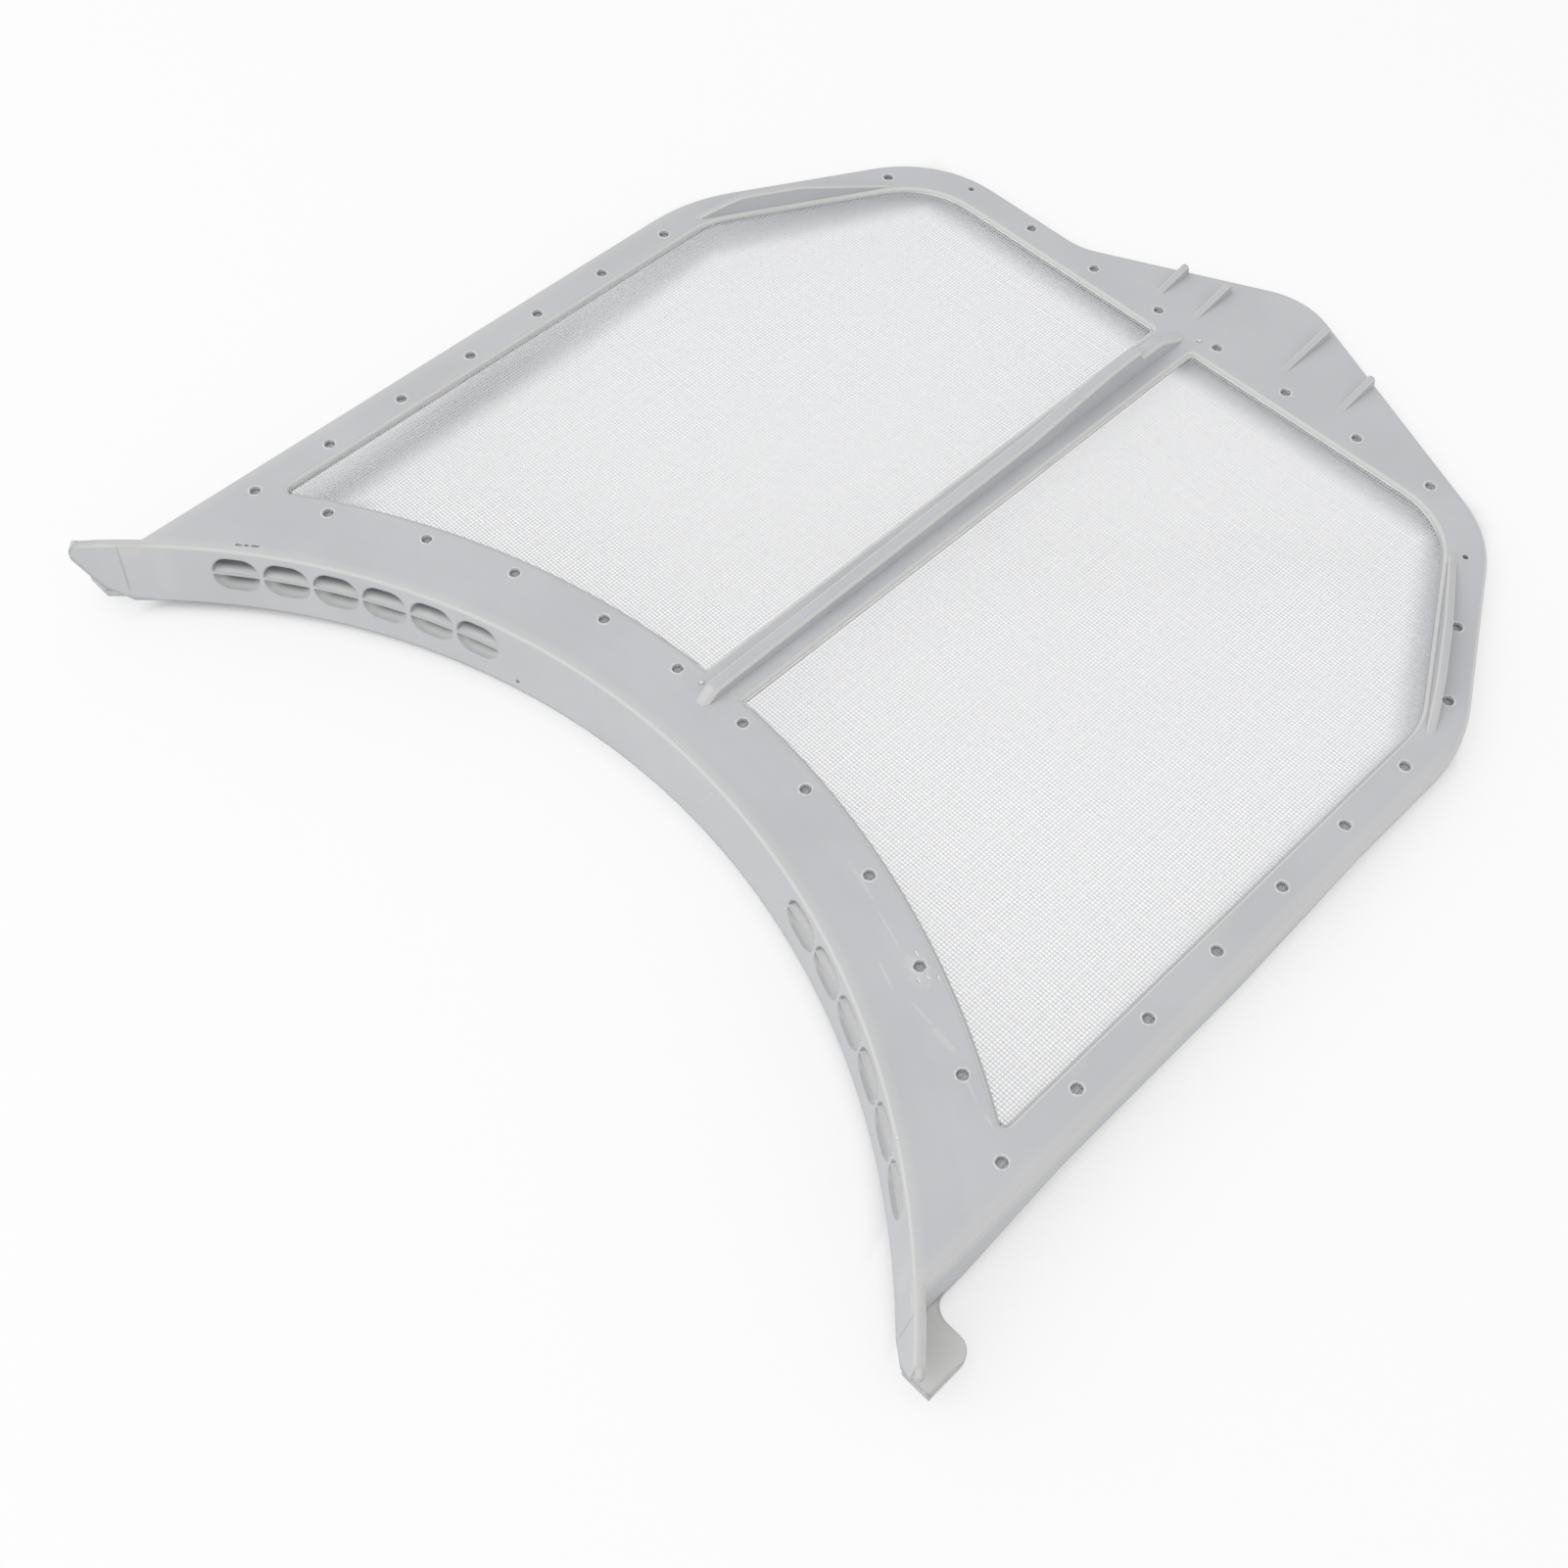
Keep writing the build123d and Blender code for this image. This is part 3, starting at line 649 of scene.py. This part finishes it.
def thread_points(start, end, level):
    """Tubes from start to end: points along each line with a slow drift to the side, and a many-sided
    ring about each point. The level falls towards the middle of each window by the sag."""
    share = np.linspace(0, 1, thread_segments + 1)[None, :, None]
    line = start[:, None, :] + share * (end - start)[:, None, :]
    run = (end - start) / np.linalg.norm(end - start, axis=1, keepdims=True)
    side = np.stack([-run[:, 1], run[:, 0]], axis=1)[:, None, :]
    count = len(start)
    swing = dice.uniform(0, 2 * np.pi, size=(count, 1, 1))
    waves = dice.uniform(*drift_waves, size=(count, 1, 1))
    shift = drift_shift * dice.normal(size=(count, 1, 1))
    drift = thread_drift * (np.sin(swing + 2 * np.pi * waves * share) + shift)
    line = line + side * drift
    middle_x = (side_window_x + strap_half_width) / 2
    half_x = (side_window_x - strap_half_width) / 2
    near_side = 1 - ((np.abs(line[..., 0]) - middle_x) / half_x) ** 2
    near_end = 1 - ((line[..., 1] - sag_middle_y) / sag_half_length) ** 2
    fall = sag * np.clip(near_side, 0, 1) * np.clip(near_end, 0, 1)
    turn = np.linspace(0, 2 * np.pi, thread_sides, endpoint=False)
    ring_side = thread_diameter / 2 * np.cos(turn)
    ring_up = thread_diameter / 2 * np.sin(turn)
    flat_points = line[:, :, None, :] + side[:, :, None, :] * ring_side[None, None, :, None]
    up = (level - fall)[:, :, None] + ring_up[None, None, :]
    return np.concatenate([flat_points, up[..., None]], axis=-1)


def thread_quads(count, segments):
    """Quads along each tube, and its two end caps as pairs of quads."""
    steps = (np.arange(count), np.arange(segments), np.arange(thread_sides))
    tube, along, turn = np.meshgrid(*steps, indexing="ij")
    next_turn = (turn + 1) % thread_sides
    first = tube * (segments + 1) * thread_sides
    corners = [(along, turn), (along, next_turn), (along + 1, next_turn), (along + 1, turn)]
    walls = np.stack([first + a * thread_sides + b for a, b in corners], axis=-1).reshape(-1, 4)
    start = np.arange(count)[:, None, None] * (segments + 1) * thread_sides
    halves = np.array([[0, 3, 2, 1], [0, 5, 4, 3]])
    front = start + halves[None]
    back = start + segments * thread_sides + halves[None, :, ::-1]
    return np.concatenate([walls, front.reshape(-1, 4), back.reshape(-1, 4)])


chamfer_line, corner_line = sheet_offsets()
warp_count = int(side_end_x / weave_pitch)
warp_x = weave_pitch * np.arange(-warp_count, warp_count + 1)
warp_front = np.sqrt(front_end_radius**2 - warp_x**2)
warp_rear = np.minimum(rear_end_y, (chamfer_line[2] - chamfer_line[0] * np.abs(warp_x)) / chamfer_line[1])
warp_rear = np.minimum(warp_rear, (corner_line[2] - corner_line[0] * np.abs(warp_x)) / corner_line[1])
warp_starts = np.stack([warp_x, warp_front], axis=1)
warp_ends = np.stack([warp_x, warp_rear], axis=1)
warp = thread_points(warp_starts, warp_ends, screen_level + layer_offset)
weft_y = np.arange(np.sqrt(front_end_radius**2 - side_end_x**2) + weave_pitch, rear_end_y, weave_pitch)
weft_x = np.minimum(side_end_x, (chamfer_line[2] - chamfer_line[1] * weft_y) / chamfer_line[0])
weft_x = np.minimum(weft_x, (corner_line[2] - corner_line[1] * weft_y) / corner_line[0])
split_weft = weft_y < front_end_radius
short_y = weft_y[split_weft]
short_x = weft_x[split_weft]
short_start = np.sqrt(front_end_radius**2 - short_y**2)
long_y = weft_y[~split_weft]
long_x = weft_x[~split_weft]
weft_from = np.concatenate([short_start, -short_x, -long_x])
weft_to = np.concatenate([short_x, -short_start, long_x])
weft_along = np.concatenate([short_y, short_y, long_y])
weft_starts = np.stack([weft_from, weft_along], axis=1)
weft_ends = np.stack([weft_to, weft_along], axis=1)
weft = thread_points(weft_starts, weft_ends, screen_level - layer_offset)
threads = np.concatenate([warp, weft])

thread_white = paint(250, 250, 252)
thread_shade = paint(246, 247, 248)
screen_polyester, tree = shader("screen_polyester")
place = plan_place(tree)
bands = cloud(tree, place, 0.6, 2.0)
weave = weave_height(tree, place)
colour = blend(tree, fade(tree, bands, 0.3, 0.7), thread_shade, thread_white)
relief = node(tree, "Bump", {}, {"Height": calc(tree, "MULTIPLY", weave, 0.08), "Distance": relief_unit})
finish = {
    "Base Color": colour,
    "Roughness": fade(tree, bands, 0.2, 0.8, 0.4, 0.55),
    "Normal": relief.outputs["Normal"],
}
thread = node(tree, "BsdfPrincipled", {}, finish).outputs["BSDF"]
glow = node(tree, "BsdfTranslucent", {}, {"Color": colour}).outputs["BSDF"]
mixed = node(tree, "MixShader", {}, {0: thread_glow, 1: thread, 2: glow}).outputs["Shader"]
node(tree, "OutputMaterial", {}, {"Surface": mixed})

quads = thread_quads(len(threads), thread_segments)
woven_screen = surface("woven_screen", laid(threads), quads, screen_polyester)
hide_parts("mesh_screen")

# Stage: a plain white floor that keeps the filter's shadow, soft light from all round and from above the
# front, and the camera of the photograph. The floor is lifted to white, least below the plate's border.
floor_white = paint(252, 252, 252)
floor_lift = 0.6
edge_lift = 0.03
window_lift = 0.8
shade_slant = (-0.8, 0.55, 0.0)
outside_span = (-2.0, 5.0)
window_span = (13.0, 20.0)
slanted_span = (22.0, 32.0)
surround = 0.81
lamp_power = 6.4
lamp_size = 1.6
lamp_place = (-0.43, -0.93, 1.23)
floor_half = 5.0

mesh = bpy.data.meshes.new("floor")
floor_corners = floor_half * np.array([(-1, -1, 0), (1, -1, 0), (1, 1, 0), (-1, 1, 0)])
mesh.from_pydata(floor_corners, [], [(0, 1, 2, 3)])
floor = bpy.data.objects.new("floor", mesh)
bpy.context.scene.collection.objects.link(floor)
floor_paper, tree = shader("floor_paper")
rays = node(tree, "LightPath", {}, {}).outputs
seen = calc(tree, "MAXIMUM", rays["Is Camera Ray"], rays["Is Glossy Ray"])
seen = calc(tree, "MAXIMUM", seen, rays["Is Transmission Ray"])
paper = node(tree, "BsdfDiffuse", {}, {"Color": floor_white}).outputs["BSDF"]
lift = node(tree, "Emission", {}, {"Strength": 1.0}).outputs["Emission"]
place = plan_place(tree)
plate_ends = (collar_radius, plate_half_width, rear_edge_y, chamfer_offset)
below = inside_outline(tree, place, *plate_ends)
depth = node(tree, "SeparateXYZ", {}, {"Vector": place}).outputs["Z"]
slanted = {0: depth, 1: shade_slant, 2: place}
place = node(tree, "VectorMath", {"operation": "MULTIPLY_ADD"}, slanted).outputs["Vector"]
past = inside_outline(tree, place, *plate_ends)
outside = fade(tree, calc(tree, "MAXIMUM", below, past), *outside_span, floor_lift, edge_lift)
share = calc(tree, "MAXIMUM", outside, fade(tree, below, *window_span, edge_lift, window_lift))
share = calc(tree, "MAXIMUM", share, fade(tree, past, *slanted_span, edge_lift, window_lift))
share = calc(tree, "MULTIPLY", seen, share)
shown = node(tree, "MixShader", {}, {0: share, 1: paper, 2: lift}).outputs["Shader"]
node(tree, "OutputMaterial", {}, {"Surface": shown})
mesh.materials.append(floor_paper)

world = bpy.data.worlds.new("studio")
world.use_nodes = True
tree = world.node_tree
tree.nodes.clear()
rays = node(tree, "LightPath", {}, {}).outputs
strength = fade(tree, rays["Is Camera Ray"], 0.0, 1.0, surround, 1.0)
sky = node(tree, "Background", {}, {"Color": (1, 1, 1, 1), "Strength": strength}).outputs["Background"]
node(tree, "OutputWorld", {}, {"Surface": sky})
bpy.context.scene.world = world

lamp = bpy.data.lights.new("softbox", "AREA")
lamp.size = lamp_size
lamp.energy = lamp_power
softbox = bpy.data.objects.new("softbox", lamp)
softbox.location = lamp_place
softbox.rotation_euler = (-Vector(lamp_place)).to_track_quat("-Z", "Y").to_euler()
bpy.context.scene.collection.objects.link(softbox)

lens = bpy.data.cameras.new("photo_camera")
lens.sensor_width = 36.0
lens.lens = 44.792
lens.shift_x = -0.021209
lens.shift_y = 0.000756
camera = bpy.data.objects.new("photo_camera", lens)
camera.location = (0.22580822, -0.23830628, 0.43439828)
camera.rotation_euler = [radians(turn) for turn in (31.17478892, 1.72626095, 45.0013857)]
bpy.context.scene.collection.objects.link(camera)
bpy.context.scene.camera = camera
bpy.context.scene.view_settings.view_transform = "Standard"
